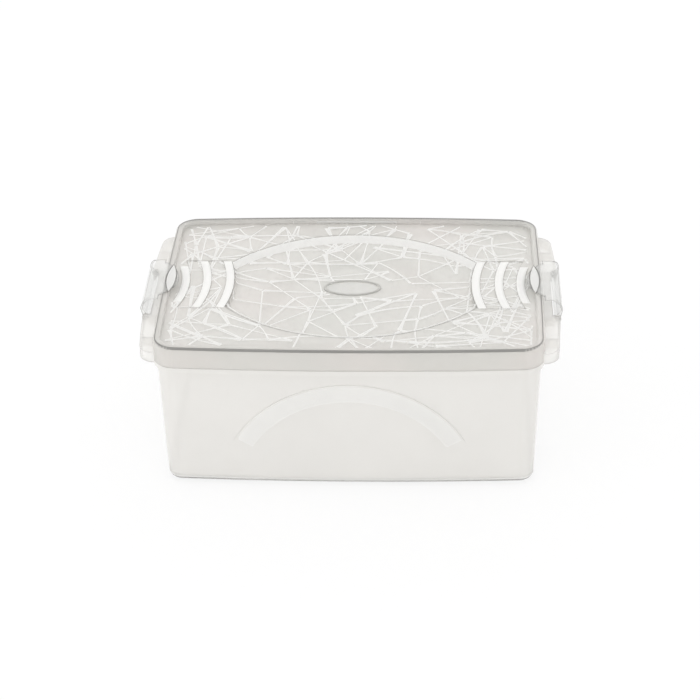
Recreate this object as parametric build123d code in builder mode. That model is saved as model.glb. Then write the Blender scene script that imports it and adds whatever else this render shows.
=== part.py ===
from build123d import *
from math import cos, radians, sin, sqrt, tan
import os

os.makedirs("parts", exist_ok=True)

# Plastic storage box: an open tub, a lift-off lid and a swinging latch at each end.
# X runs along the box, Y from front to back, Z up. The origin is under the middle
# of the tub, on the plane that its feet stand on.

# Lid, in plan
LID_LENGTH = 400.0
LID_DEPTH = 280.0
CORNER_RADIUS = 24.0
LONG_BOW = 5.7
END_BOW = 1.5

# Lid, in section
BOX_HEIGHT = 170.0
LID_WALL = 1.6
SKIRT_DROP = 24.0
RIM_WIDTH = 8.0
RIM_OUTER_ROUND = 2.9
RIM_INNER_ROUND = 1.5
PANEL_DEPTH = 5.0

# Lens-shaped dish in the lid's panel, measured in from the lid's edges
DISH_SIDE_MARGIN = 29.0
DISH_END_MARGIN = 74.0
DISH_CORNER_DEPTH = 96.0
DISH_DEPTH = 4.8
DISH_SLOPE = 10.5
DISH_END_SLOPE = 2.0

# Arc bands at each end of the panel: middle line of each, in from the lid's end
BAND_INSETS = (69.0, 44.5, 21.5)
BAND_WIDTH = 9.5
BAND_RADIUS = 193.0
BAND_ZONE_DEPTH = 102.0
BAND_ZONE_MARGIN = 13.5
BAND_RELIEF = 0.7

# Bare oval badge place in the middle of the dish
OVAL_LENGTH = 61.0
OVAL_DEPTH = 32.0
OVAL_RING = 2.4
OVAL_HEIGHT = 0.8

# Tub
TUB_WALL = 1.5
FLOOR_THICKNESS = 1.8
SEAT_GAP = 0.3
RIM_GAP = 1.1
WALL_TAPER = 1.9
BASE_HEIGHT = 10.0
BASE_STEP = 0.4
BASE_ROUND = 8.0
FOOT_HEIGHT = 1.5
FOOT_LENGTH = 22.0
FOOT_DEPTH = 28.0
FOOT_ROUND = 4.0
FOOT_SPACING_X = 246.0
FOOT_SPACING_Y = 208.0

# Ledge below the lid's skirt
LEDGE_HEIGHT = 5.0
LEDGE_GAP = 0.6
LEDGE_INSET = 0.5

# Arch band standing proud of the front and back walls
ARCH_OUTER_RADIUS = 137.0
ARCH_INNER_RADIUS = 114.5
ARCH_CENTRE_DROP = 10.0
ARCH_HALF_ANGLE = 61.0
ARCH_RELIEF = 0.8

# Carrying ear at each end of the tub, a plate with a lip turned down
EAR_REACH = 20.0
EAR_BOW = 6.0
EAR_SETBACK = 15.0
EAR_CORNER = 16.0
EAR_DROP = 15.0
EAR_THICKNESS = 2.2
EAR_LIP = 2.2
EAR_LIP_HEIGHT = 12.0
EAR_SKIRT_GAP = 0.8
RIB_THICKNESS = 1.8
RIB_OFFSET = 92.0

# Hinge of the latches
PIN_DIAMETER = 4.0
PIN_CLEARANCE = 0.05
PIN_EDGE = 4.0
PIN_DROP = 3.0
KNUCKLE_RADIUS = 3.5
CHEEK_THICKNESS = 3.0
SIDE_GAP = 0.4
NOTCH_GAP = 1.0

# Latch
LATCH_WIDTH = 92.0
LATCH_WALL = 2.0
LATCH_PROUD = 1.5
LATCH_BEND = 10.0
LATCH_CORNER = 9.0
HOOK_GAP = 0.5
TONGUE_REACH = 14.5
TONGUE_WIDTH = 70.0
TONGUE_CLEARANCE = 1.5
CATCH_LENGTH = 3.0
CATCH_DROP = 1.2
THUMB_LENGTH = 62.0
THUMB_WIDTH = 11.6
THUMB_DEPTH = 0.8

# Levels that follow from the sizes above
skirt_bottom = BOX_HEIGHT - SKIRT_DROP
panel_top = BOX_HEIGHT - PANEL_DEPTH
dish_floor = panel_top - DISH_DEPTH
rim_top = BOX_HEIGHT - LID_WALL - SEAT_GAP
rim_inset = LID_WALL + RIM_GAP
base_top = FOOT_HEIGHT + BASE_HEIGHT
wall_height = rim_top - base_top
wall_fall = wall_height * tan(radians(WALL_TAPER))
base_inset = rim_inset + wall_fall + BASE_STEP
ledge_top = skirt_bottom - LEDGE_GAP
ear_top = BOX_HEIGHT - EAR_DROP
ear_edge = LID_LENGTH / 2 + EAR_REACH
ear_half_depth = LID_DEPTH / 2 - EAR_SETBACK
pivot_x = ear_edge - PIN_EDGE
pivot_z = ear_top - PIN_DROP
cheek_inner = LATCH_WIDTH / 2 + SIDE_GAP
cheek_middle = cheek_inner + CHEEK_THICKNESS / 2
notch_x = pivot_x - KNUCKLE_RADIUS - NOTCH_GAP


def lid_plan(inset):
    """The lid's plan with its four bowed sides, brought in by an inset all round."""
    half_x = LID_LENGTH / 2 - inset
    half_y = LID_DEPTH / 2 - inset
    with BuildSketch() as face:
        with BuildLine():
            ThreePointArc((-half_x, -half_y), (0, -half_y - LONG_BOW), (half_x, -half_y))
            ThreePointArc((half_x, -half_y), (half_x + END_BOW, 0), (half_x, half_y))
            ThreePointArc((half_x, half_y), (0, half_y + LONG_BOW), (-half_x, half_y))
            ThreePointArc((-half_x, half_y), (-half_x - END_BOW, 0), (-half_x, -half_y))
        make_face()
        fillet(face.vertices(), CORNER_RADIUS - inset)
    return face.sketch


def ear_plan(inset):
    """Plan of both ears and the band between them, brought in by an inset."""
    half_x = ear_edge - EAR_BOW - inset
    half_y = ear_half_depth - inset
    with BuildSketch() as face:
        with BuildLine():
            Line((-half_x, -half_y), (half_x, -half_y))
            ThreePointArc((half_x, -half_y), (half_x + EAR_BOW, 0), (half_x, half_y))
            Line((half_x, half_y), (-half_x, half_y))
            ThreePointArc((-half_x, half_y), (-half_x - EAR_BOW, 0), (-half_x, -half_y))
        make_face()
        fillet(face.vertices(), EAR_CORNER - inset)
    return face.sketch


def dish_plan(side_inset, end_inset):
    """Lens shape with its two ends hollowed by the nearest arc band."""
    corner_x = LID_LENGTH / 2 - DISH_END_MARGIN + band_sag(DISH_CORNER_DEPTH / 2) - end_inset
    corner_y = DISH_CORNER_DEPTH / 2 - side_inset
    middle_x = LID_LENGTH / 2 - DISH_END_MARGIN - end_inset
    middle_y = LID_DEPTH / 2 - DISH_SIDE_MARGIN - side_inset
    with BuildSketch() as face:
        with BuildLine():
            ThreePointArc((-corner_x, -corner_y), (0, -middle_y), (corner_x, -corner_y))
            ThreePointArc((corner_x, -corner_y), (middle_x, 0), (corner_x, corner_y))
            ThreePointArc((corner_x, corner_y), (0, middle_y), (-corner_x, corner_y))
            ThreePointArc((-corner_x, corner_y), (-middle_x, 0), (-corner_x, -corner_y))
        make_face()
    return face.sketch


def band_sag(half_depth):
    """How far an arc band falls back from its middle at a distance across."""
    return BAND_RADIUS - sqrt(BAND_RADIUS**2 - half_depth**2)


def lens(length, width):
    """Eye shape between two equal arcs, its length along Y."""
    with BuildSketch() as face:
        with BuildLine():
            ThreePointArc((0, -length / 2), (-width / 2, 0), (0, length / 2))
            ThreePointArc((0, length / 2), (width / 2, 0), (0, -length / 2))
        make_face()
    return face.sketch


def band_gaps(side):
    """Plan of the sunk strips between the arc bands at one end of the lid."""
    centre_x = LID_LENGTH / 2 - BAND_INSETS[0] + BAND_RADIUS
    edges = [LID_LENGTH / 2 - inset for inset in BAND_INSETS]
    edges.append(LID_LENGTH / 2 - BAND_ZONE_MARGIN + BAND_WIDTH / 2)
    with BuildSketch() as gaps:
        for near, far in zip(edges, edges[1:]):
            with BuildSketch(mode=Mode.PRIVATE) as strip:
                with Locations((centre_x, 0)):
                    Circle(centre_x - near - BAND_WIDTH / 2)
                    Circle(centre_x - far + BAND_WIDTH / 2, mode=Mode.SUBTRACT)
                with Locations((LID_LENGTH / 2 - BAND_INSETS[0] / 2, 0)):
                    Rectangle(BAND_INSETS[0] * 2, BAND_ZONE_DEPTH, mode=Mode.INTERSECT)
            add(strip.sketch)
        Rectangle(LID_LENGTH - 2 * BAND_ZONE_MARGIN, LID_DEPTH, mode=Mode.INTERSECT)
    if side < 0:
        return mirror(gaps.sketch, about=Plane.YZ)
    return gaps.sketch


# Lid
with BuildPart() as lid:
    # Skirt and rim as one block, its top edge rounded
    with BuildSketch(Plane.XY.offset(skirt_bottom)):
        add(lid_plan(0))
    extrude(amount=SKIRT_DROP)
    fillet(lid.faces().sort_by(Axis.Z)[-1].edges(), RIM_OUTER_ROUND)

    # Hollow under the rim, then the sunk panel back in
    with BuildSketch(Plane.XY.offset(skirt_bottom)):
        add(lid_plan(LID_WALL))
    extrude(amount=SKIRT_DROP - LID_WALL, mode=Mode.SUBTRACT)
    with BuildSketch(Plane.XY.offset(panel_top - LID_WALL)):
        add(lid_plan(RIM_WIDTH - LID_WALL))
    extrude(amount=PANEL_DEPTH)
    with BuildSketch(Plane.XY.offset(BOX_HEIGHT)):
        add(lid_plan(RIM_WIDTH))
    extrude(amount=-PANEL_DEPTH, mode=Mode.SUBTRACT)
    inner_edge = lid.faces().filter_by(Plane.XY).sort_by(Axis.Z)[-1].inner_wires()[0]
    fillet(inner_edge.edges(), RIM_INNER_ROUND)

    # Dish, the same wall carried down and round it
    for wall, mode in ((LID_WALL, Mode.ADD), (0, Mode.SUBTRACT)):
        with BuildSketch(Plane.XY.offset(panel_top - wall)):
            add(dish_plan(0, -wall))
        with BuildSketch(Plane.XY.offset(dish_floor - wall)):
            add(dish_plan(DISH_SLOPE, DISH_END_SLOPE - wall))
        loft(mode=mode)

    # Sunk strips that leave the arc bands standing
    for side in (-1, 1):
        with BuildSketch(Plane.XY.offset(panel_top)):
            add(band_gaps(side))
        extrude(amount=-BAND_RELIEF, mode=Mode.SUBTRACT)

    # Bare oval ring
    with BuildSketch(Plane.XY.offset(dish_floor)):
        Ellipse(OVAL_LENGTH / 2, OVAL_DEPTH / 2)
        Ellipse(OVAL_LENGTH / 2 - OVAL_RING, OVAL_DEPTH / 2 - OVAL_RING, mode=Mode.SUBTRACT)
    extrude(amount=OVAL_HEIGHT)

    # End skirts stop short above the tub's ears
    with BuildSketch(Plane.XY.offset(skirt_bottom)):
        add(ear_plan(-EAR_SKIRT_GAP))
    extrude(amount=ear_top + EAR_SKIRT_GAP - skirt_bottom, mode=Mode.SUBTRACT)

lid.part.label = "lid"
export_step(lid.part, "parts/lid.step")


# Inside of the tub, taken out of it below
with BuildPart() as cavity:
    with BuildSketch(Plane.XY.offset(rim_top)):
        add(lid_plan(rim_inset + TUB_WALL))
    with BuildSketch(Plane.XY.offset(base_top)):
        add(lid_plan(rim_inset + wall_fall + TUB_WALL))
    loft(ruled=True)
    with BuildSketch(Plane.XY.offset(FOOT_HEIGHT + FLOOR_THICKNESS)):
        add(lid_plan(base_inset + TUB_WALL))
    extrude(amount=BASE_HEIGHT - FLOOR_THICKNESS)
    fillet(cavity.faces().sort_by(Axis.Z)[0].edges(), BASE_ROUND - TUB_WALL)


# Slab that stands proud of both long walls along the arch
with BuildPart() as arches:
    with BuildSketch(Plane.XY.offset(rim_top)):
        add(lid_plan(rim_inset - ARCH_RELIEF))
    with BuildSketch(Plane.XY.offset(base_top)):
        add(lid_plan(rim_inset + wall_fall - ARCH_RELIEF))
    loft(ruled=True)
    reach = 2 * ARCH_OUTER_RADIUS
    side_x = reach * sin(radians(ARCH_HALF_ANGLE))
    side_z = reach * cos(radians(ARCH_HALF_ANGLE))
    with BuildSketch(Plane.XZ):
        with Locations((0, -ARCH_CENTRE_DROP)):
            Circle(ARCH_OUTER_RADIUS)
            Circle(ARCH_INNER_RADIUS, mode=Mode.SUBTRACT)
        with BuildLine():
            Polyline(
                (0, -ARCH_CENTRE_DROP),
                (side_x, side_z - ARCH_CENTRE_DROP),
                (0, reach),
                (-side_x, side_z - ARCH_CENTRE_DROP),
                close=True,
            )
        make_face(mode=Mode.INTERSECT)
    extrude(amount=LID_DEPTH, both=True, mode=Mode.INTERSECT)


# Tub
with BuildPart() as tub:
    # Tapered outside with a round base, and the arches on it
    with BuildSketch(Plane.XY.offset(rim_top)):
        add(lid_plan(rim_inset))
    with BuildSketch(Plane.XY.offset(base_top)):
        add(lid_plan(rim_inset + wall_fall))
    loft(ruled=True)
    with BuildSketch(Plane.XY.offset(FOOT_HEIGHT)):
        add(lid_plan(base_inset))
    extrude(amount=BASE_HEIGHT)
    fillet(tub.faces().sort_by(Axis.Z)[0].edges(), BASE_ROUND)
    add(arches.part)

    # Ledge all round below the lid's skirt
    with BuildSketch(Plane.XY.offset(ledge_top - LEDGE_HEIGHT)):
        add(lid_plan(LEDGE_INSET))
    extrude(amount=LEDGE_HEIGHT)

    # Ears with their lips and ribs
    with BuildSketch(Plane.XY.offset(ear_top - EAR_THICKNESS)):
        add(ear_plan(0))
    extrude(amount=EAR_THICKNESS)
    with BuildSketch(Plane.XY.offset(ear_top - EAR_LIP_HEIGHT)):
        add(ear_plan(0))
        add(ear_plan(EAR_LIP), mode=Mode.SUBTRACT)
    extrude(amount=EAR_LIP_HEIGHT)
    rib_length = 2 * (ear_edge - EAR_BOW)
    with BuildSketch(Plane.XY.offset(ear_top - EAR_LIP_HEIGHT)):
        with Locations((0, RIB_OFFSET), (0, -RIB_OFFSET)):
            Rectangle(rib_length, RIB_THICKNESS)
        with Locations((0, cheek_middle), (0, -cheek_middle)):
            Rectangle(rib_length, CHEEK_THICKNESS)
    extrude(amount=EAR_LIP_HEIGHT)

    # Notch in each ear for the latch, with a bored cheek at either side of it
    with BuildSketch(Plane.XY.offset(ear_top - EAR_LIP_HEIGHT)):
        with Locations((notch_x + EAR_REACH, 0), (-notch_x - EAR_REACH, 0)):
            Rectangle(2 * EAR_REACH, 2 * cheek_inner)
    extrude(amount=EAR_LIP_HEIGHT, mode=Mode.SUBTRACT)
    for cheek_y in (-cheek_inner, cheek_inner + CHEEK_THICKNESS):
        with BuildSketch(Plane.XZ.offset(-cheek_y)):
            with Locations((-pivot_x, pivot_z), (pivot_x, pivot_z)):
                Circle(PIN_EDGE)
        extrude(amount=CHEEK_THICKNESS)
    with BuildSketch(Plane.XZ):
        with Locations((-pivot_x, pivot_z), (pivot_x, pivot_z)):
            Circle(PIN_DIAMETER / 2 + PIN_CLEARANCE)
    extrude(amount=cheek_inner + CHEEK_THICKNESS, both=True, mode=Mode.SUBTRACT)

    # Hollow, and feet below
    add(cavity.part, mode=Mode.SUBTRACT)
    with BuildSketch():
        with GridLocations(FOOT_SPACING_X, FOOT_SPACING_Y, 2, 2):
            RectangleRounded(FOOT_LENGTH, FOOT_DEPTH, FOOT_ROUND)
    extrude(amount=FOOT_HEIGHT + FLOOR_THICKNESS / 2)

tub.part.label = "tub"
export_step(tub.part, "parts/tub.step")


# Right latch, drawn as its section and carried across
with BuildPart() as latch_right:
    hook_under = BOX_HEIGHT + HOOK_GAP
    hook_top = hook_under + LATCH_WALL
    tongue_tip = LID_LENGTH / 2 - TONGUE_REACH
    web_outer = ear_edge + LATCH_PROUD
    web_inner = web_outer - LATCH_WALL
    bend_x = web_inner - LATCH_BEND
    bend_z = hook_under - LATCH_BEND
    outer_bend = LATCH_BEND + LATCH_WALL
    with BuildSketch(Plane.XZ):
        with BuildLine():
            Line((tongue_tip, hook_under), (bend_x, hook_under))
            RadiusArc((bend_x, hook_under), (web_inner, bend_z), LATCH_BEND)
            Polyline(
                (web_inner, bend_z),
                (pivot_x, pivot_z + KNUCKLE_RADIUS),
                (pivot_x, pivot_z),
                (pivot_x + KNUCKLE_RADIUS, pivot_z),
                (web_outer, bend_z),
            )
            RadiusArc((web_outer, bend_z), (bend_x, hook_top), -outer_bend)
            Polyline((bend_x, hook_top), (tongue_tip, hook_top), (tongue_tip, hook_under))
        make_face()
        with BuildLine():
            Polyline(
                (tongue_tip, hook_top),
                (tongue_tip, hook_under - CATCH_DROP),
                (tongue_tip + CATCH_LENGTH, hook_under - CATCH_DROP),
                (tongue_tip + CATCH_LENGTH + CATCH_DROP, hook_under),
                (tongue_tip + CATCH_LENGTH + CATCH_DROP, hook_top),
                close=True,
            )
        make_face()
        with Locations((pivot_x, pivot_z)):
            Circle(KNUCKLE_RADIUS)
    extrude(amount=LATCH_WIDTH / 2, both=True)

    # Round shoulders
    with BuildSketch(Plane.YZ):
        with Locations((0, hook_top - BOX_HEIGHT / 2)):
            RectangleRounded(LATCH_WIDTH, BOX_HEIGHT, LATCH_CORNER)
    extrude(amount=LID_LENGTH, mode=Mode.INTERSECT)

    # The hook narrows to a round tongue over the lid
    tongue_base = LID_LENGTH / 2 + END_BOW + TONGUE_CLEARANCE
    tongue_sag = tongue_base - tongue_tip
    tongue_radius = ((TONGUE_WIDTH / 2) ** 2 + tongue_sag**2) / (2 * tongue_sag)
    with BuildSketch(Plane.XY.offset(hook_top)):
        with Locations((tongue_tip + tongue_sag / 2, 0)):
            Rectangle(tongue_sag, LATCH_WIDTH)
        with Locations((tongue_tip + tongue_radius, 0)):
            Circle(tongue_radius, mode=Mode.SUBTRACT)
    extrude(amount=-LATCH_WALL - CATCH_DROP, mode=Mode.SUBTRACT)

    # Thumb dimple in the tongue
    with BuildSketch(Plane.XY.offset(hook_top)):
        with Locations((tongue_tip + THUMB_WIDTH / 2 + LATCH_WALL, 0)):
            add(lens(THUMB_LENGTH, THUMB_WIDTH))
    extrude(amount=-THUMB_DEPTH, mode=Mode.SUBTRACT)

    # Hinge pins
    with BuildSketch(Plane.XZ):
        with Locations((pivot_x, pivot_z)):
            Circle(PIN_DIAMETER / 2)
    extrude(amount=cheek_inner + CHEEK_THICKNESS, both=True)

latch_right.part.label = "latch_right"
export_step(latch_right.part, "parts/latch_right.step")


# Left latch, the mirror image
with BuildPart() as latch_left:
    add(mirror(latch_right.part, about=Plane.YZ))

latch_left.part.label = "latch_left"
export_step(latch_left.part, "parts/latch_left.step")
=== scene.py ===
import math
import random

import bmesh
import bpy
from mathutils import Matrix, Vector
from mathutils.bvhtree import BVHTree


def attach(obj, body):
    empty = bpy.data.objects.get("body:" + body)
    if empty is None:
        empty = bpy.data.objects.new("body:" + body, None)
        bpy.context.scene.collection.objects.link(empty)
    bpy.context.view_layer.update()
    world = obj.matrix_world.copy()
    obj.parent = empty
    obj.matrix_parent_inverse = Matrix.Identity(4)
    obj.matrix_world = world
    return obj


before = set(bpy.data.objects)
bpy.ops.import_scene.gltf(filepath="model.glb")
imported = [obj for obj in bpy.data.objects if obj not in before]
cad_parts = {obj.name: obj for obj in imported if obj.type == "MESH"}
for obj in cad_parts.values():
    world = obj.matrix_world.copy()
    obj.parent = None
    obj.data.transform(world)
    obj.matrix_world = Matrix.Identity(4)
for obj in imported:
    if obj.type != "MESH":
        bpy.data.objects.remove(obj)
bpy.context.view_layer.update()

# The lid's plan, rim and panel, in metres, as in the CAD
LID_LENGTH = 0.400
LID_DEPTH = 0.280
CORNER_RADIUS = 0.024
LONG_BOW = 0.0057
END_BOW = 0.0015
BOX_HEIGHT = 0.170
LID_WALL = 0.0016
SKIRT_DROP = 0.024
RIM_WIDTH = 0.008
RIM_OUTER_ROUND = 0.0029
RIM_INNER_ROUND = 0.0015
PANEL_DEPTH = 0.005

# Arc bands, dish and oval on the lid, as in the CAD
BAND_INSETS = (0.069, 0.0445, 0.0215)
BAND_WIDTH = 0.0095
BAND_RADIUS = 0.193
BAND_ZONE_DEPTH = 0.102
DISH_SIDE_MARGIN = 0.029
DISH_END_MARGIN = 0.074
DISH_CORNER_DEPTH = 0.096
DISH_SLOPE = 0.0105
OVAL_LENGTH = 0.061
OVAL_DEPTH = 0.032
OVAL_RING = 0.0024

# The tub's walls, base, arches and feet, as in the CAD
SEAT_GAP = 0.0003
RIM_GAP = 0.0011
WALL_TAPER = 1.9
BASE_HEIGHT = 0.010
BASE_STEP = 0.0004
BASE_ROUND = 0.008
FOOT_HEIGHT = 0.0015
FOOT_LENGTH = 0.022
FOOT_DEPTH = 0.028
FOOT_ROUND = 0.004
FOOT_SPACING_X = 0.246
FOOT_SPACING_Y = 0.208
ARCH_OUTER_RADIUS = 0.137
ARCH_INNER_RADIUS = 0.1145
ARCH_CENTRE_DROP = 0.010
ARCH_HALF_ANGLE = 61.0

# The latches' tongues, as in the CAD
LATCH_WALL = 0.002
HOOK_GAP = 0.0005
TONGUE_REACH = 0.0145
THUMB_LENGTH = 0.062
THUMB_WIDTH = 0.0116

# How far the border of a skin is pressed into the plastic
SKIN_SINK = 0.0001

# How far inside the lid's outline a place counts as on the panel, and how far inside it marks stay
PANEL_MARGIN = 0.0105
MARK_MARGIN = 0.0115

# The cracked-ice lines: their number, their spacing and the reach between the places that they join
ICE_PLACES = 150
ICE_TRIES = 6000
ICE_AREA = (0.202, 0.150)
ICE_SPACING = 0.017
ICE_SHORTEST = 0.022
ICE_LONGEST = 0.085
ICE_LINES_EACH = 2

# The least angle between two faces, in radians, that makes a sharp edge
SHARP_ANGLE = 0.6

# The photograph's width and its camera's focal length, in pixels
PHOTO_WIDTH = 700
FOCAL_LENGTH = 2200


# Meshes
def link(obj):
    """Puts a new object in the scene."""
    bpy.context.scene.collection.objects.link(obj)
    return obj


def mesh_object(name, points, faces, material, smooth=True):
    """A new mesh object from points and faces."""
    mesh = bpy.data.meshes.new(name)
    mesh.from_pydata([tuple(p) for p in points], [], faces)
    mesh.update()
    for polygon in mesh.polygons:
        polygon.use_smooth = smooth
    mesh.materials.append(material)
    return link(bpy.data.objects.new(name, mesh))


def grid_faces(first, rows, columns):
    """The faces of a grid of points that starts at a given index."""
    faces = []
    for i in range(rows - 1):
        for j in range(columns - 1):
            a = first + i * columns + j
            faces.append((a, a + 1, a + columns + 1, a + columns))
    return faces


def ring_faces(count, size):
    """The faces of a closed tube: a section of a given size, carried round a given count of places."""
    faces = []
    for i in range(count):
        after = (i + 1) % count
        for j in range(size):
            k = (j + 1) % size
            faces.append((i * size + j, i * size + k, after * size + k, after * size + j))
    return faces


def wall_faces(first, count):
    """The faces between a closed outline of points and the next one."""
    faces = []
    for i in range(count):
        j = (i + 1) % count
        faces.append((first + i, first + j, first + count + j, first + count + i))
    return faces


def tree_of(node):
    """A ray-cast tree over a CAD node."""
    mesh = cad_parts[node].data
    points = [v.co.copy() for v in mesh.vertices]
    return BVHTree.FromPolygons(points, [tuple(p.vertices) for p in mesh.polygons])


lid_tree = tree_of("lid")
tub_tree = tree_of("tub")


def lid_top(x, y):
    """The lid's own height at x, y."""
    return lid_tree.ray_cast(Vector((x, y, 0.3)), Vector((0, 0, -1)))[0].z


def wall_point(x, z, sign, lift):
    """A point just off the tub's front or back wall."""
    hit = tub_tree.ray_cast(Vector((x, sign * 0.3, z)), Vector((0, -sign, 0)))
    return (x, hit[0].y + sign * lift, z)


# The lid's plan
def plan_loop(step=0.004):
    """Points and outward normals round the lid's plan, in order."""
    half_x = LID_LENGTH / 2
    half_y = LID_DEPTH / 2
    long_radius = (half_x**2 + LONG_BOW**2) / (2 * LONG_BOW)
    end_radius = (half_y**2 + END_BOW**2) / (2 * END_BOW)
    long_centre = half_y + LONG_BOW - long_radius
    end_centre = half_x + END_BOW - end_radius
    corner = corner_centre(long_centre, long_radius, end_centre, end_radius)
    toward_long = math.atan2(corner[1] - long_centre, corner[0])
    toward_end = math.atan2(corner[1], corner[0] - end_centre)
    arcs = (
        ((end_centre, 0.0), end_radius, 0.0, toward_end),
        (corner, CORNER_RADIUS, toward_end, toward_long),
        ((0.0, long_centre), long_radius, toward_long, math.pi / 2),
    )
    quarter = []
    for (x, y), radius, begin, end in arcs:
        count = max(2, int(radius * (end - begin) / step))
        for i in range(count):
            angle = begin + (end - begin) * i / count
            nx, ny = math.cos(angle), math.sin(angle)
            quarter.append((x + radius * nx, y + radius * ny, nx, ny))
    top = (0.0, half_y + LONG_BOW, 0.0, 1.0)
    left = (-half_x - END_BOW, 0.0, -1.0, 0.0)
    mirrored = [(-x, y, -nx, ny) for x, y, nx, ny in reversed(quarter[1:])]
    upper = quarter + [top] + mirrored
    lower = [(-x, -y, -nx, -ny) for x, y, nx, ny in upper[1:]]
    return upper + [left] + lower


def corner_centre(long_centre, long_radius, end_centre, end_radius):
    """Where a corner's arc is centred, so that it touches both bowed sides."""
    from_long = long_radius - CORNER_RADIUS
    from_end = end_radius - CORNER_RADIUS
    across = math.hypot(end_centre, long_centre)
    along = (from_long**2 - from_end**2 + across**2) / (2 * across)
    off = math.sqrt(from_long**2 - along**2)
    unit = (end_centre / across, -long_centre / across)
    middle = (unit[0] * along, long_centre + unit[1] * along)
    one = (middle[0] - unit[1] * off, middle[1] + unit[0] * off)
    two = (middle[0] + unit[1] * off, middle[1] - unit[0] * off)
    return one if one[0] > 0 and one[1] > 0 else two


def on_panel(x, y, margin=PANEL_MARGIN):
    """Whether a point lies on the lid's sunk panel, at least a margin inside the lid's outline."""
    half_x = LID_LENGTH / 2 - margin
    half_y = LID_DEPTH / 2 - margin + LONG_BOW * (1 - (2 * x / LID_LENGTH) ** 2)
    radius = CORNER_RADIUS - margin
    dx = max(abs(x) - half_x + radius, 0)
    dy = max(abs(y) - half_y + radius, 0)
    return math.hypot(dx, dy) < radius


# Shapes
def sweep(name, section, material):
    """A section of (outward, up) points carried round the lid's plan."""
    loop = plan_loop()
    points = [(x + nx * out, y + ny * out, up) for x, y, nx, ny in loop for out, up in section]
    return mesh_object(name, points, ring_faces(len(loop), len(section)), material)


def draped(name, grids, material, lift, spread=0.0, seed=1):
    """Thin skins laid on the lid. Each grid is rows of x, y; its border is pressed into the lid."""
    rng = random.Random(seed)
    points = []
    faces = []
    for grid in grids:
        height = lift + spread * rng.random()
        rows = len(grid)
        columns = len(grid[0])
        faces += grid_faces(len(points), rows, columns)
        for i, row in enumerate(grid):
            for j, (x, y) in enumerate(row):
                border = i in (0, rows - 1) or j in (0, columns - 1)
                points.append((x, y, lid_top(x, y) + (-SKIN_SINK if border else height)))
    return mesh_object(name, points, faces, material)


def across_lines(lines):
    """A grid from lines that run side by side."""
    return [list(row) for row in zip(*lines)]


def ribbon(path, width, columns=4):
    """A grid of rows across a path of x, y points. The width is a number or a function of 0 to 1."""
    grid = []
    count = len(path)
    for i, (x, y) in enumerate(path):
        before = path[max(i - 1, 0)]
        after = path[min(i + 1, count - 1)]
        dx, dy = after[0] - before[0], after[1] - before[1]
        size = math.hypot(dx, dy) or 1.0
        wide = width(i / (count - 1)) if callable(width) else width
        row = []
        for j in range(columns):
            across = (j / (columns - 1) - 0.5) * wide
            row.append((x - dy / size * across, y + dx / size * across))
        grid.append(row)
    return grid


def three_point_arc(start, middle, end, count):
    """Points along the circle through three points, as x, y."""
    (ax, ay), (bx, by), (cx, cy) = start, middle, end
    a, b, c = ax**2 + ay**2, bx**2 + by**2, cx**2 + cy**2
    d = 2 * (ax * (by - cy) + bx * (cy - ay) + cx * (ay - by))
    ux = (a * (by - cy) + b * (cy - ay) + c * (ay - by)) / d
    uy = (a * (cx - bx) + b * (ax - cx) + c * (bx - ax)) / d
    radius = math.hypot(ax - ux, ay - uy)
    begin = math.atan2(ay - uy, ax - ux)
    turn = short_turn(math.atan2(cy - uy, cx - ux) - begin)
    half = short_turn(math.atan2(by - uy, bx - ux) - begin)
    if half * turn < 0:
        turn -= math.copysign(2 * math.pi, turn)
    angles = [begin + turn * i / (count - 1) for i in range(count)]
    return [(ux + radius * math.cos(angle), uy + radius * math.sin(angle)) for angle in angles]


def short_turn(angle):
    """An angle brought between minus and plus half a turn."""
    return (angle + math.pi) % (2 * math.pi) - math.pi


def painted_edge_lines(name, node, body, material, half, keep=None):
    """Thin lines of painted shade just inside a moulding's sharp edges, where clear plastic looks darker.
    """
    shape = bmesh.new()
    shape.from_mesh(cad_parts[node].data)
    bmesh.ops.remove_doubles(shape, verts=shape.verts, dist=1e-6)
    points = []
    faces = []
    for edge in shape.edges:
        if len(edge.link_faces) != 2 or edge.calc_face_angle(0) < SHARP_ANGLE:
            continue
        ends = [vertex.co for vertex in edge.verts]
        if keep and not keep((ends[0] + ends[1]) / 2):
            continue
        one, two = edge.link_faces[0].normal, edge.link_faces[1].normal
        inward = -(one + two).normalized() * half
        corners = (one * half * 0.6, two * half * 0.6, (one + two) * -half * 0.8)
        faces += wall_faces(len(points), len(corners))
        for end in ends:
            points += [end + inward + corner for corner in corners]
    shape.free()
    piece = mesh_object(name, points, faces, material, smooth=False)
    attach(piece, body)


# Materials
def noise(nodes, links, coords, scale, detail):
    """The strength of a noise laid over a piece's own coordinates."""
    node = nodes.new("ShaderNodeTexNoise")
    node.inputs["Scale"].default_value = scale
    node.inputs["Detail"].default_value = detail
    links.new(coords.outputs["Object"], node.inputs["Vector"])
    return node.outputs["Fac"]


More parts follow.
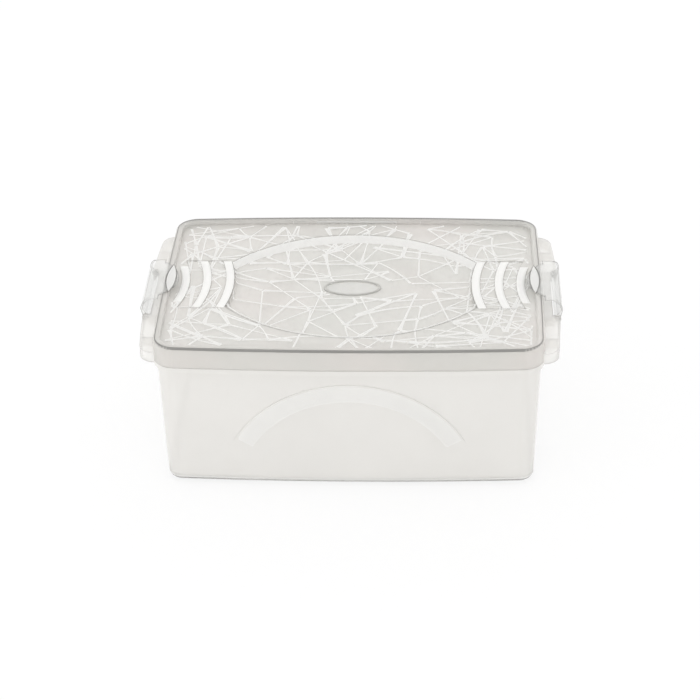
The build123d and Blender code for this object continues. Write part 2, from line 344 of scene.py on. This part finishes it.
def plastic(
    name, colour, rough, alpha, mottle=0.02, bump=0.06, grain=60.0, cloud_size=14.0, second_colour=None
):
    """Moulded plastic with a faint cloudiness in its colour and a shallow ripple."""
    material = bpy.data.materials.new(name)
    material.use_nodes = True
    nodes = material.node_tree.nodes
    links = material.node_tree.links
    shader = nodes["Principled BSDF"]
    shader.inputs["Roughness"].default_value = rough
    shader.inputs["IOR"].default_value = 1.49
    shader.inputs["Alpha"].default_value = alpha
    coords = nodes.new("ShaderNodeTexCoord")
    ramp = nodes.new("ShaderNodeValToRGB")
    second_colour = second_colour or [c * (1 - mottle) for c in colour]
    for element, place, tone in zip(ramp.color_ramp.elements, (0.3, 0.7), (second_colour, colour)):
        element.position = place
        element.color = (*tone, 1)
    links.new(noise(nodes, links, coords, cloud_size, 3.0), ramp.inputs["Fac"])
    links.new(ramp.outputs["Color"], shader.inputs["Base Color"])
    relief = nodes.new("ShaderNodeBump")
    relief.inputs["Strength"].default_value = bump
    relief.inputs["Distance"].default_value = 0.001
    links.new(noise(nodes, links, coords, grain, 2.0), relief.inputs["Height"])
    links.new(relief.outputs["Normal"], shader.inputs["Normal"])
    return material


def milky_tub():
    """The tub's milky plastic."""
    return plastic("tub_milky", (0.99, 0.975, 0.945), rough=0.35, alpha=0.55)


def clear_lid():
    """The lid's clearer plastic, in part warmer and in part greyer."""
    warm = (0.90, 0.86, 0.825)
    grey = (0.825, 0.825, 0.785)
    return plastic("lid_clear", warm, rough=0.15, alpha=0.45, cloud_size=9.0, second_colour=grey)


def clear_latch():
    """The latches' clear plastic."""
    return plastic("latch_clear", (0.85, 0.85, 0.83), rough=0.12, alpha=0.28, mottle=0.01)


def frost_and_highlight(name, level, alpha):
    """Matt moulded texture, which reads as white on the clear plastic; also a painted highlight where it
    stands for light caught on slopes and edges.
    """
    colour = (level, level * 0.995, level * 0.975)
    return plastic(name, colour, rough=0.6, alpha=alpha, mottle=0.03, bump=0.25, grain=400.0)


def painted_edge_shade(name, level, alpha):
    """Painted shade: the dark tone that the clear plastic shows at a moulded edge, where it refracts its
    darker surroundings.
    """
    colour = (level, level * 0.98, level * 0.93)
    return plastic(name, colour, rough=0.3, alpha=alpha, mottle=0.12, bump=0.05)


def dress_cad():
    """Gives the mouldings their own plastics."""
    looks = {"tub": milky_tub(), "lid": clear_lid(), "latch_left": clear_latch()}
    looks["latch_right"] = looks["latch_left"]
    for node, material in looks.items():
        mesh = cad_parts[node].data
        mesh.materials.clear()
        mesh.materials.append(material)


# Pieces on the lid's rim
def bead_point(angle, lift):
    """A point on the rim's outer round at an angle in degrees, as outward and up."""
    turn = math.radians(angle)
    reach = RIM_OUTER_ROUND + lift
    up = BOX_HEIGHT - RIM_OUTER_ROUND + reach * math.sin(turn)
    return reach * math.cos(turn) - RIM_OUTER_ROUND, up


def bead_section(ny):
    """The painted shade's section where the rim faces ny: low on the round in front, high at the back."""
    proud = 0.00004
    thickness = 0.0003
    front = max(-ny, 0) ** 2
    back = max(ny, 0) ** 2
    begin = 70 - 60 * front - 30 * back
    end = 90 - 18 * front
    flat = 0.0001 + 0.0021 * back
    upper = [bead_point(begin + (end - begin) * i / 5, proud) for i in range(6)]
    out, up = upper[-1]
    lower = [(out - flat, up - thickness), bead_point(end, -thickness), bead_point(begin, -thickness)]
    return upper + [(out - flat, up)] + lower


def rim_bead_painted_shade():
    """Painted shade as a grey line along the rim's outer round."""
    loop = plan_loop()
    sections = [bead_section(place[3]) for place in loop]
    points = []
    for (x, y, nx, ny), section in zip(loop, sections):
        points += [(x + nx * out, y + ny * out, up) for out, up in section]
    faces = ring_faces(len(loop), len(sections[0]))
    piece = mesh_object("rim_bead_painted_shade", points, faces, painted_edge_shade("rim_painted_shade", 0.33, 0.82))
    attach(piece, "lid_body")


def rim_inside():
    """The matt inner wall of the rim, lighter than the panel it stands on."""
    face = -RIM_WIDTH - 0.00006
    inside = -RIM_WIDTH + 0.0003
    bottom = BOX_HEIGHT - PANEL_DEPTH + 0.0001
    top = BOX_HEIGHT - RIM_INNER_ROUND
    section = [(face, bottom), (face, top), (inside, top), (inside, bottom)]
    piece = sweep("rim_inside", section, frost_and_highlight("rim_frost", 0.95, 0.6))
    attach(piece, "lid_body")


# Pieces on the lid's panel
def cracked_ice():
    """White moulded lines of random length and direction that meet in small webs."""
    rng = random.Random(47)
    places = []
    tries = 0
    while len(places) < ICE_PLACES and tries < ICE_TRIES:
        tries += 1
        spot = tuple(rng.uniform(-reach, reach) for reach in ICE_AREA)
        if all(math.dist(spot, other) > ICE_SPACING for other in places):
            places.append(spot)
    strips = []
    for spot in places:
        others = [other for other in places if ICE_SHORTEST < math.dist(spot, other) < ICE_LONGEST]
        for other in rng.sample(others, min(len(others), ICE_LINES_EACH)):
            strips.append((spot, other) if on_panel(*spot) else (other, spot))
    grids = []
    for start, end in strips:
        path = ice_path(rng, start, end)
        if len(path) > 4:
            grids.append(ribbon(path, ice_width(rng)))
    material = frost_and_highlight("ice_frost", 0.97, 0.72)
    piece = draped("cracked_ice", grids, material, lift=0.00008, spread=0.00016, seed=5)
    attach(piece, "lid_body")


def ice_path(rng, start, end):
    """A nearly straight line between two places, cut where it leaves the panel or meets the oval."""
    step = 0.0022
    length = math.dist(start, end)
    count = max(6, int(length / step))
    bow = rng.choice((0, 0, 0, 0.05)) * rng.choice((-1, 1)) * length
    side = ((start[1] - end[1]) / length, (end[0] - start[0]) / length)
    path = []
    for i in range(count + 1):
        t = i / count
        lean = bow * 4 * t * (1 - t)
        x = start[0] + (end[0] - start[0]) * t + side[0] * lean
        y = start[1] + (end[1] - start[1]) * t + side[1] * lean
        if in_oval(x, y) or not on_panel(x, y, MARK_MARGIN):
            break
        path.append((x, y))
    return path


def in_oval(x, y, gap=0.002):
    """Whether a point lies on the oval or within a gap round it."""
    return math.hypot(x / (OVAL_LENGTH / 2 + gap), y / (OVAL_DEPTH / 2 + gap)) < 1


def ice_width(rng):
    """A line's width along its length: wider where it meets another."""
    thin = rng.uniform(0.0012, 0.0027)
    start = rng.choice((0.0025, 0.0040, 0.0060, 0.0085)) - thin
    end = rng.uniform(0.0014, 0.0050) - thin
    fade = rng.uniform(3, 8)

    def width(t):
        return thin + start * math.exp(-t * fade) + end * math.exp(-(1 - t) * fade)

    return width


def band_arc(side, inset, offset, half_depth=BAND_ZONE_DEPTH / 2, count=36):
    """Points along an arc band at one end of the lid, offset across it and kept on the panel."""
    centre = LID_LENGTH / 2 - BAND_INSETS[0] + BAND_RADIUS
    radius = centre - (LID_LENGTH / 2 - inset) + offset
    reach = math.asin(half_depth / radius)
    points = []
    for i in range(count):
        angle = reach * (2 * i / (count - 1) - 1)
        point = (side * (centre - radius * math.cos(angle)), radius * math.sin(angle))
        if on_panel(*point, MARK_MARGIN):
            points.append(point)
    return points


def arc_bands():
    """The frosted bands at each end of the lid. The outermost is cut where the panel ends."""
    half_depth = BAND_ZONE_DEPTH / 2 - 0.0005
    shares = (-0.9, -0.8, -0.3, 0.3, 0.8, 0.9)
    grids = []
    for side in (-1, 1):
        for inset in BAND_INSETS:
            lines = [band_arc(side, inset, share * BAND_WIDTH / 2, half_depth) for share in shares]
            size = min(len(line) for line in lines)
            starts = [(len(line) - size) // 2 for line in lines]
            grids.append(across_lines([line[start:start + size] for line, start in zip(lines, starts)]))
    piece = draped("arc_bands", grids, frost_and_highlight("band_frost", 1.0, 0.85), lift=0.0003)
    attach(piece, "lid_body")


def band_edges():
    """Painted shade on the thin dark edges of the bands, and of the zone that they stand in."""
    line_width = 0.0005
    zone_start = LID_LENGTH / 2 - BAND_INSETS[0] + 0.004
    zone_length = 0.048
    points_along = 17
    grids = []
    for side in (-1, 1):
        for inset in BAND_INSETS:
            for offset in (-BAND_WIDTH / 2, BAND_WIDTH / 2):
                grids.append(ribbon(band_arc(side, inset, offset), line_width))
        for y in (-BAND_ZONE_DEPTH / 2, BAND_ZONE_DEPTH / 2):
            shares = [i / (points_along - 1) for i in range(points_along)]
            path = [(side * (zone_start + zone_length * share), y) for share in shares]
            grids.append(ribbon(path, line_width))
    piece = draped("band_edges", grids, painted_edge_shade("band_edge_painted_shade", 0.42, 0.35), lift=0.00038)
    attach(piece, "lid_body")


def dish_corner():
    """Where the dish's long edge meets its end, on the end's arc."""
    y = DISH_CORNER_DEPTH / 2
    x = LID_LENGTH / 2 - DISH_END_MARGIN + BAND_RADIUS - math.sqrt(BAND_RADIUS**2 - y**2)
    return x, y


def dish_edge(sign, inset, count=90):
    """The dish's long edge at the front or back, brought down its slope by an inset."""
    corner_x, corner_y = dish_corner()
    corner_x -= inset * 0.19
    corner_y = sign * (corner_y - inset)
    middle_y = sign * (LID_DEPTH / 2 - DISH_SIDE_MARGIN - inset)
    return three_point_arc((-corner_x, corner_y), (0, middle_y), (corner_x, corner_y), count)


def dish_slope_highlight():
    """Painted highlight on the dish's long slopes, which catch the light as broad white bands: less of the
    front one.
    """
    grids = []
    for sign, begin in ((-1, 0.45), (1, 0.02)):
        insets = [DISH_SLOPE * (begin + (1 - begin) * share) for share in (0, 0.12, 0.4, 0.7, 0.93, 1.0)]
        grids.append(across_lines([dish_edge(sign, inset) for inset in insets]))
    piece = draped("dish_slope_highlight", grids, frost_and_highlight("dish_slope_highlight", 0.98, 0.72), lift=0.00015)
    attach(piece, "lid_body")


def dish_lines():
    """Painted shade along the dish's dark upper edges."""
    grids = [ribbon(dish_edge(sign, -0.0004), 0.0009) for sign in (-1, 1)]
    corner_x, corner_y = dish_corner()
    end = LID_LENGTH / 2 - DISH_END_MARGIN
    for side in (-1, 1):
        front, back = (side * corner_x, -corner_y), (side * corner_x, corner_y)
        grids.append(ribbon(three_point_arc(front, (side * end, 0), back, 40), 0.0007))
    piece = draped("dish_lines", grids, painted_edge_shade("dish_edge_painted_shade", 0.36, 0.55), lift=0.00025)
    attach(piece, "lid_body")


def oval_loop(inset, count=72):
    """Points round the oval, brought inward by an inset."""
    reach_x = OVAL_LENGTH / 2 - inset
    reach_y = OVAL_DEPTH / 2 - inset
    angles = [2 * math.pi * i / count for i in range(count + 1)]
    return [(reach_x * math.cos(angle), reach_y * math.sin(angle)) for angle in angles]


def oval_ring():
    """Painted shade along the dark outer and inner edges of the bare oval ring."""
    rings = [ribbon(oval_loop(0.0004), 0.0009), ribbon(oval_loop(OVAL_RING - 0.0003), 0.0006)]
    piece = draped("oval_ring", rings, painted_edge_shade("oval_painted_shade", 0.34, 0.7), lift=0.0002)
    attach(piece, "lid_body")


def oval_field():
    """The bare frosted field inside the oval ring."""
    lines = [oval_loop(OVAL_RING + 0.0002)]
    for share in (0.15, 0.5, 0.8, 0.97):
        lines.append([(x * (1 - share), y * (1 - share)) for x, y in oval_loop(OVAL_RING + 0.0004)])
    field = draped("oval_field", [across_lines(lines)], frost_and_highlight("oval_frost", 0.9, 0.4), lift=0.0001)
    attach(field, "lid_body")


# Painted shade along the edges of the mouldings
def latch_edges():
    """The painted shade lines along the edges of both latches, in one tone."""
    tone = painted_edge_shade("latch_edge_painted_shade", 0.30, 0.6)
    for latch in ("latch_left", "latch_right"):
        painted_edge_lines(latch + "_edges", latch, latch + "_body", tone, half=0.0003)


def ear_edges():
    """The painted shade lines along the edges of the tub's ears."""

    def on_ear(place):
        return abs(place.x) > 0.2005 and place.z > 0.1

    tone = painted_edge_shade("tub_edge_painted_shade", 0.36, 0.5)
    painted_edge_lines("ear_edges", "tub", "tub_body", tone, half=0.0004, keep=on_ear)


def lid_lines():
    """The painted shade lines along the edges of the lid's skirt, near its lower end."""

    def on_skirt(place):
        return place.z < BOX_HEIGHT - SKIRT_DROP + 0.004

    tone = painted_edge_shade("lid_edge_painted_shade", 0.45, 0.3)
    painted_edge_lines("lid_lines", "lid", "lid_body", tone, half=0.0003, keep=on_skirt)


# Pieces on the latches
def tongue_eye(count=33):
    """The eye-shaped outline of the dimple in a latch's tongue, about its own middle."""
    half_length = THUMB_LENGTH / 2
    half_width = THUMB_WIDTH / 2
    radius = (half_length**2 + half_width**2) / (2 * half_width)
    outer = []
    for i in range(count):
        y = half_length * (2 * i / (count - 1) - 1)
        outer.append((math.sqrt(radius**2 - y**2) - (radius - half_width), y))
    return [(-x, y) for x, y in outer] + [(x, y) for x, y in reversed(outer[1:-1])]


def tongue_loop(side, across, along, drop):
    """The dimple's outline on one latch, scaled across and along it, at a drop below the hook's top."""
    middle = side * (LID_LENGTH / 2 - TONGUE_REACH + THUMB_WIDTH / 2 + LATCH_WALL)
    height = BOX_HEIGHT + HOOK_GAP + LATCH_WALL - drop
    return [(middle + x * across, y * along, height) for x, y in tongue_eye()]


def dimple_ring(side, label):
    """Painted shade on the dark rim of the dimple in one latch's tongue."""
    points = []
    faces = []
    for across, drop in ((0.99, 0.00005), (0.99, 0.0006), (0.80, 0.0006), (0.80, 0.0007)):
        loop = tongue_loop(side, across, 1 - (1 - across) * 0.3, drop)
        if points:
            faces += wall_faces(len(points) - len(loop), len(loop))
        points += loop
    return mesh_object("dimple_ring_" + label, points, faces, painted_edge_shade("dimple_painted_shade_" + label, 0.34, 0.6))


def dimple_highlight_floor(side, label):
    """A painted highlight on the floor of the dimple in one latch's tongue."""
    points = tongue_loop(side, 0.78, 0.93, 0.00055)
    material = frost_and_highlight("dimple_painted_highlight_" + label, 0.97, 0.7)
    return mesh_object("dimple_highlight_floor_" + label, points, [tuple(range(len(points)))], material, smooth=False)


def dimples():
    """The dimples of both latches, with their painted shade and painted highlight."""
    for side, label, body in ((-1, "left", "latch_left_body"), (1, "right", "latch_right_body")):
        for piece in (dimple_ring(side, label), dimple_highlight_floor(side, label)):
            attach(piece, body)


# Pieces on the tub
def base_line(name, begin, end, material):
    """A line round the tub's base, between two angles of the wall's turn into it."""
    wall_height = BOX_HEIGHT - LID_WALL - SEAT_GAP - FOOT_HEIGHT - BASE_HEIGHT
    edge = -LID_WALL - RIM_GAP - wall_height * math.tan(math.radians(WALL_TAPER)) - BASE_STEP
    centre_out = edge - BASE_ROUND
    centre_up = FOOT_HEIGHT + BASE_ROUND
    angles = [math.radians(begin + (end - begin) * i / 6) for i in range(7)]
    section = []
    for reach, order in ((BASE_ROUND + 0.00012, angles), (BASE_ROUND - 0.0002, angles[::-1])):
        for angle in order:
            section.append((centre_out + reach * math.cos(angle), centre_up - reach * math.sin(angle)))
    piece = sweep(name, section, material)
    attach(piece, "tub_body")


def base_lines():
    """Painted shade on the darker turn of the wall into the base, with a painted highlight as a light line
    above it.
    """
    base_line("base_painted_shade_line", 27, 70, painted_edge_shade("base_painted_shade", 0.36, 0.3))
    base_line("base_painted_highlight_line", 4, 22, frost_and_highlight("base_painted_highlight", 0.99, 0.6))


def arch_frost():
    """The lighter matt face of the arch on the front and back walls."""
    rows = 61
    columns = 8
    border_gap = 0.0008
    half_angle = ARCH_HALF_ANGLE - 0.6
    width = ARCH_OUTER_RADIUS - ARCH_INNER_RADIUS - 2 * border_gap
    radii = [ARCH_INNER_RADIUS + border_gap + width * j / (columns - 1) for j in range(columns)]
    points = []
    faces = []
    for sign in (-1, 1):
        faces += grid_faces(len(points), rows, columns)
        for i in range(rows):
            angle = math.radians(half_angle * (2 * i / (rows - 1) - 1))
            for j, radius in enumerate(radii):
                border = i in (0, rows - 1) or j in (0, columns - 1)
                x = radius * math.sin(angle)
                z = radius * math.cos(angle) - ARCH_CENTRE_DROP
                points.append(wall_point(x, z, sign, -SKIN_SINK if border else 0.00015))
    piece = mesh_object("arch_frost", points, faces, frost_and_highlight("arch_frost", 1.0, 0.6))
    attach(piece, "tub_body")


def foot_outline(centre_x, centre_y, count=32):
    """The round-cornered outline of a foot."""
    outline = []
    for i in range(count):
        angle = 2 * math.pi * i / count
        nx, ny = math.cos(angle), math.sin(angle)
        corner_x = centre_x + math.copysign(FOOT_LENGTH / 2 - FOOT_ROUND, nx)
        corner_y = centre_y + math.copysign(FOOT_DEPTH / 2 - FOOT_ROUND, ny)
        outline.append((corner_x + FOOT_ROUND * nx, corner_y + FOOT_ROUND * ny))
    return outline


def foot_wells():
    """The wells over the four feet, seen as light patches through the walls."""
    floor = tub_tree.ray_cast(Vector((0.05, 0.05, 0.1)), Vector((0, 0, -1)))[0].z
    points = []
    faces = []
    for side_y in (-1, 1):
        for side_x in (-1, 1):
            first = len(points)
            outline = foot_outline(side_x * FOOT_SPACING_X / 2, side_y * FOOT_SPACING_Y / 2)
            for height in (-0.0002, 0.0004):
                points += [(x, y, floor + height) for x, y in outline]
            faces += wall_faces(first, len(outline))
            faces.append(tuple(range(first + len(outline), len(points))))
    piece = mesh_object("foot_wells", points, faces, frost_and_highlight("foot_frost", 0.99, 0.95), smooth=False)
    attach(piece, "tub_body")


# Stage, light and camera
def camera_share(nodes, links):
    """1 for rays from the camera and those that reach it by gloss or through clear plastic."""
    path = nodes.new("ShaderNodeLightPath")
    share = path.outputs["Is Camera Ray"]
    for kind in ("Is Glossy Ray", "Is Transmission Ray"):
        larger = nodes.new("ShaderNodeMath")
        larger.operation = "MAXIMUM"
        links.new(share, larger.inputs[0])
        links.new(path.outputs[kind], larger.inputs[1])
        share = larger.outputs[0]
    return share


def white_world():
    """Even white light all round."""
    world = bpy.data.worlds.new("studio")
    world.use_nodes = True
    background = world.node_tree.nodes["Background"]
    background.inputs["Color"].default_value = (1, 1, 1, 1)
    background.inputs["Strength"].default_value = 1.0
    bpy.context.scene.world = world


def floor_white():
    """The floor's white, in part plain to the camera, so that a shadow on it stays faint."""
    plain_share = 0.8
    material = bpy.data.materials.new("floor_white")
    material.use_nodes = True
    nodes = material.node_tree.nodes
    links = material.node_tree.links
    shader = nodes["Principled BSDF"]
    shader.inputs["Roughness"].default_value = 0.9
    shader.inputs["Specular IOR Level"].default_value = 0.0
    clouds = nodes.new("ShaderNodeTexNoise")
    clouds.inputs["Scale"].default_value = 3.0
    ramp = nodes.new("ShaderNodeValToRGB")
    ramp.color_ramp.elements[0].color = (0.985, 0.985, 0.985, 1)
    ramp.color_ramp.elements[1].color = (1, 1, 1, 1)
    links.new(clouds.outputs["Fac"], ramp.inputs["Fac"])
    links.new(ramp.outputs["Color"], shader.inputs["Base Color"])
    plain = nodes.new("ShaderNodeEmission")
    plain.inputs["Strength"].default_value = 1.0
    share = nodes.new("ShaderNodeMath")
    share.operation = "MULTIPLY"
    share.inputs[1].default_value = plain_share
    links.new(camera_share(nodes, links), share.inputs[0])
    mix = nodes.new("ShaderNodeMixShader")
    links.new(share.outputs[0], mix.inputs["Fac"])
    links.new(shader.outputs["BSDF"], mix.inputs[1])
    links.new(plain.outputs["Emission"], mix.inputs[2])
    links.new(mix.outputs["Shader"], nodes["Material Output"].inputs["Surface"])
    return material


def pale_floor():
    """A plain white floor that takes the box's soft shadow."""
    half = 6.0
    points = [(-half, -half, 0), (half, -half, 0), (half, half, 0), (-half, half, 0)]
    floor = mesh_object("floor", points, [(0, 1, 2, 3)], floor_white(), smooth=False)


def soft_lamp(name, place, size, power):
    """A broad square lamp turned to the middle of the box."""
    data = bpy.data.lights.new(name, "AREA")
    data.shape = "SQUARE"
    data.size = size
    data.energy = power
    lamp = link(bpy.data.objects.new(name, data))
    lamp.location = place
    aim = Vector((0, 0, 0.1)) - Vector(place)
    lamp.rotation_euler = aim.to_track_quat("-Z", "Y").to_euler()


def photo_camera():
    """The photograph's viewpoint: 31 degrees above the box, a long lens, nearly straight on."""
    pitch = 0.5437
    yaw = 0.0475
    roll = -0.0198
    distance = 2.384612
    target = Vector((-0.00393, 0.0, 0.0833))
    sensor_width = 36.0
    level = math.cos(pitch)
    forward = Vector((-math.sin(yaw) * level, math.cos(yaw) * level, -math.sin(pitch)))
    right = Vector((math.cos(yaw), math.sin(yaw), 0))
    up = right.cross(forward)
    side = right * math.cos(roll) + up * math.sin(roll)
    top = up * math.cos(roll) - right * math.sin(roll)
    place = target - forward * distance
    data = bpy.data.cameras.new("camera")
    data.sensor_width = sensor_width
    data.lens = sensor_width * FOCAL_LENGTH / PHOTO_WIDTH
    data.clip_end = 50.0
    camera = link(bpy.data.objects.new("camera", data))
    rows = [[side[i], top[i], -forward[i], place[i]] for i in range(3)]
    camera.matrix_world = Matrix(rows + [[0, 0, 0, 1]])
    bpy.context.scene.camera = camera


def studio():
    """The white surroundings, two weak lamps and the camera."""
    bpy.context.scene.view_settings.view_transform = "Standard"
    white_world()
    pale_floor()
    soft_lamp("lamp_left", (-1.4, -0.9, 1.6), size=1.2, power=3)
    soft_lamp("lamp_back", (0.3, 1.8, 1.5), size=1.6, power=3)
    photo_camera()


studio()
dress_cad()
rim_bead_painted_shade()
rim_inside()
cracked_ice()
arc_bands()
band_edges()
dish_slope_highlight()
dish_lines()
oval_ring()
oval_field()
latch_edges()
ear_edges()
lid_lines()
base_lines()
dimples()
arch_frost()
foot_wells()
